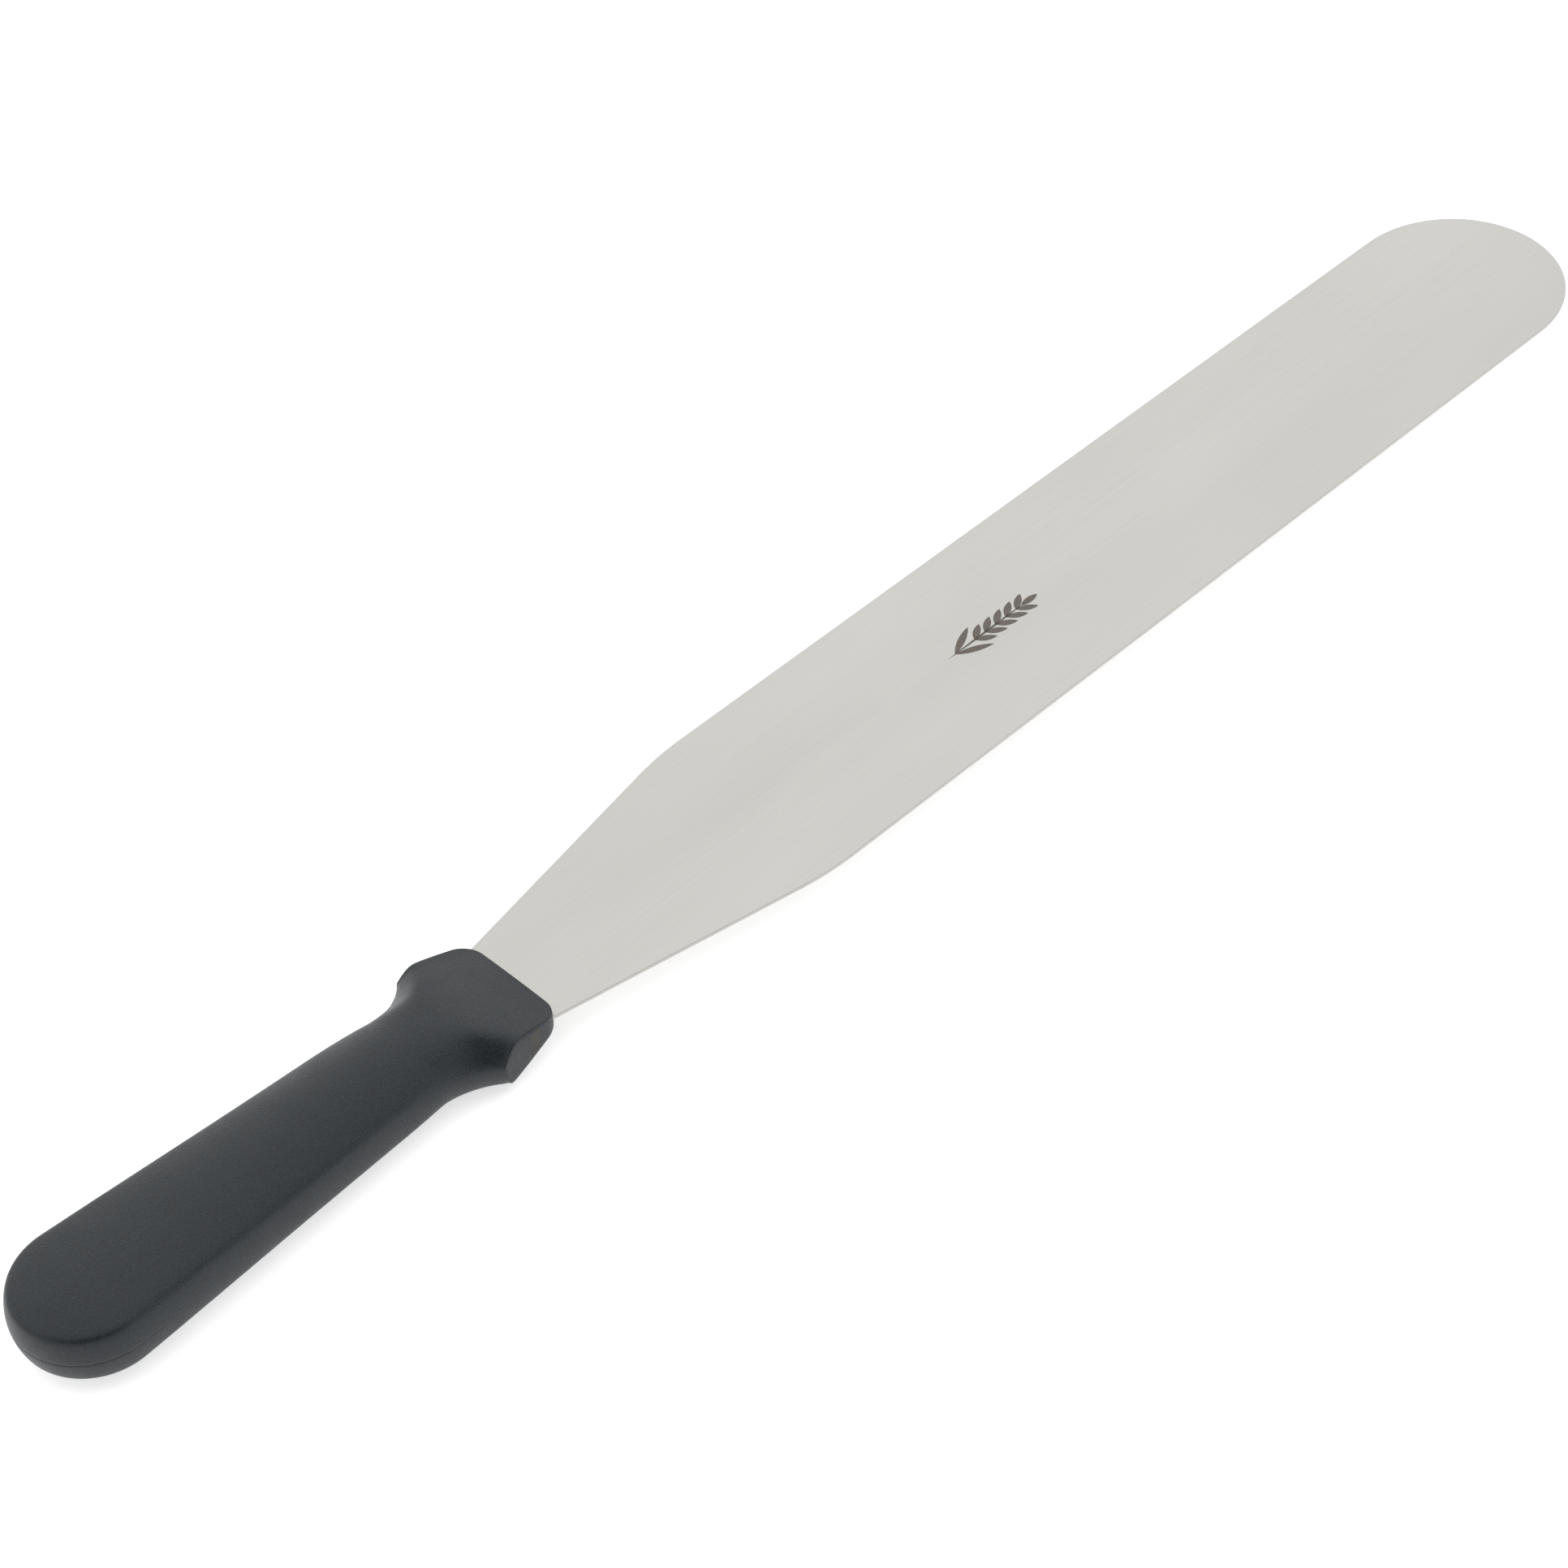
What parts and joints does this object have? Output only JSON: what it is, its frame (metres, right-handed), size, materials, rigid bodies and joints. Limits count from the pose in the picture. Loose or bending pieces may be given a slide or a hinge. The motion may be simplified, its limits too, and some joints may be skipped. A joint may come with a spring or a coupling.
{
  "type": "straight icing spatula",
  "caption": "Straight icing spatula: a long round-ended flexible steel blade with a tapered neck, moulded into a plastic handle with a flared finger guard.",
  "frame": {"origin": "under the middle of the overall length, on the centre line, level with the lowest point of the handle", "axes": "+X along the blade towards its tip, +Z off the flat of the blade, +Y across the blade"},
  "size_m": [0.492, 0.0572, 0.0169],
  "materials": {
    "blade_steel": "satin, brushed lengthwise",
    "handle_plastic": "fine matte moulded grain"
  },
  "bodies": {
    "root": {"blade": "blade_steel", "handle": "handle_plastic"}
  },
  "joints": []
}
